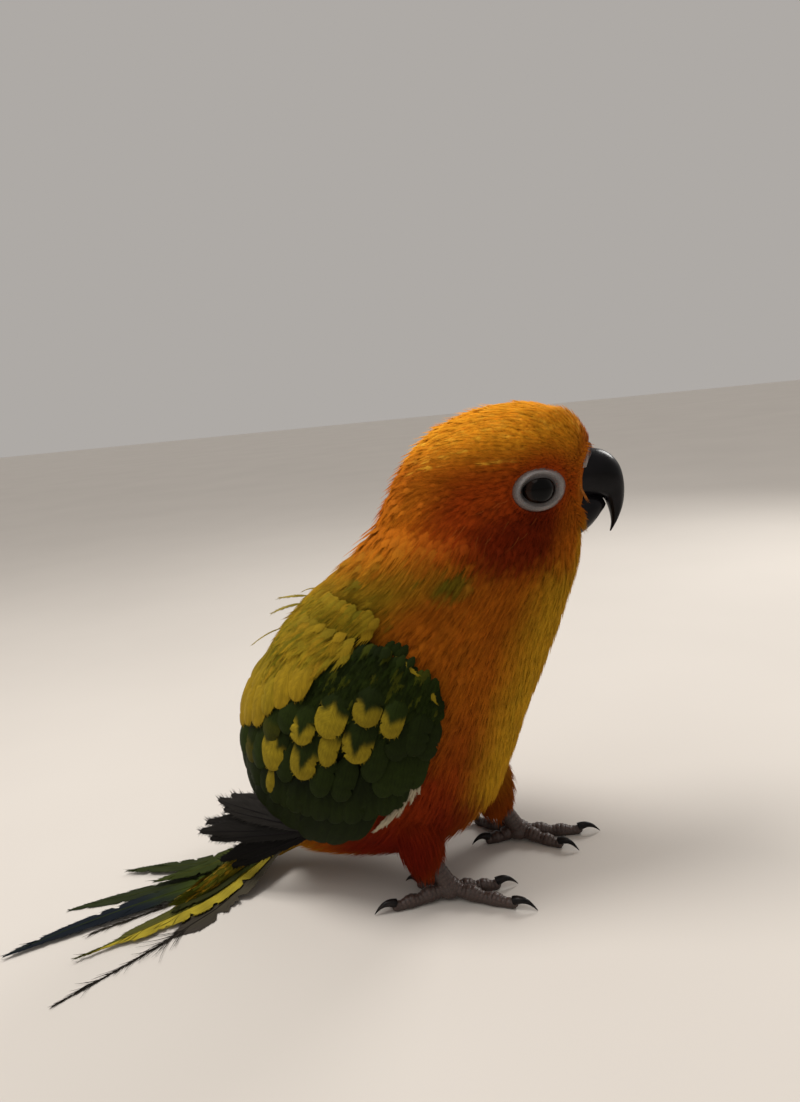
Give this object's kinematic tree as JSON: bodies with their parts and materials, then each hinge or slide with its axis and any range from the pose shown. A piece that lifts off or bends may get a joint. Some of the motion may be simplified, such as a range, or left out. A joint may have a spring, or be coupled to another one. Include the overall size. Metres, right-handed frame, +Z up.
{
  "type": "sun conure",
  "caption": "Life-size sun conure standing upright with its wings folded, its head turned a little and its worn tail laid on the ground.",
  "frame": {"origin": "middle of the model's plan, on the ground", "axes": "+X forward, the way the breast faces, +Y to the bird's left, +Z up"},
  "size_m": [0.1704, 0.1016, 0.1323],
  "materials": {
    "body_plumage": "soft overlapping small feathers, golden orange with a redder face and flanks and a yellow mantle",
    "flank_plumage": "loose soft feathers, scarlet orange at the flank, paler yellow at the vent",
    "wing_feathers": "dark green coverts with yellow tips and blunt grey-brown flight feathers",
    "tail_feathers": "olive green feathers, yellow edged or blue at the tip, worn and frayed",
    "bill": "smooth black horn with a pale bare cere",
    "eyes": "wet dark brown eye",
    "foot_skin": "grey mauve scaled skin",
    "claws": "dark horn"
  },
  "bodies": {
    "root": {"head": "body_plumage", "eye_right": "eyes", "eye_left": "eyes", "bill_upper": "bill", "bill_lower": "bill", "neck": "body_plumage", "torso": "body_plumage", "rump": "flank_plumage", "wing_right": "wing_feathers", "thigh_right": "flank_plumage", "foot_right": "foot_skin", "claw_right_toe_2": "claws", "claw_right_toe_3": "claws", "claw_right_toe_1": "claws", "claw_right_toe_4": "claws", "wing_left": "wing_feathers", "thigh_left": "flank_plumage", "foot_left": "foot_skin", "claw_left_toe_2": "claws", "claw_left_toe_3": "claws", "claw_left_toe_1": "claws", "claw_left_toe_4": "claws", "tail": "tail_feathers"}
  },
  "joints": []
}
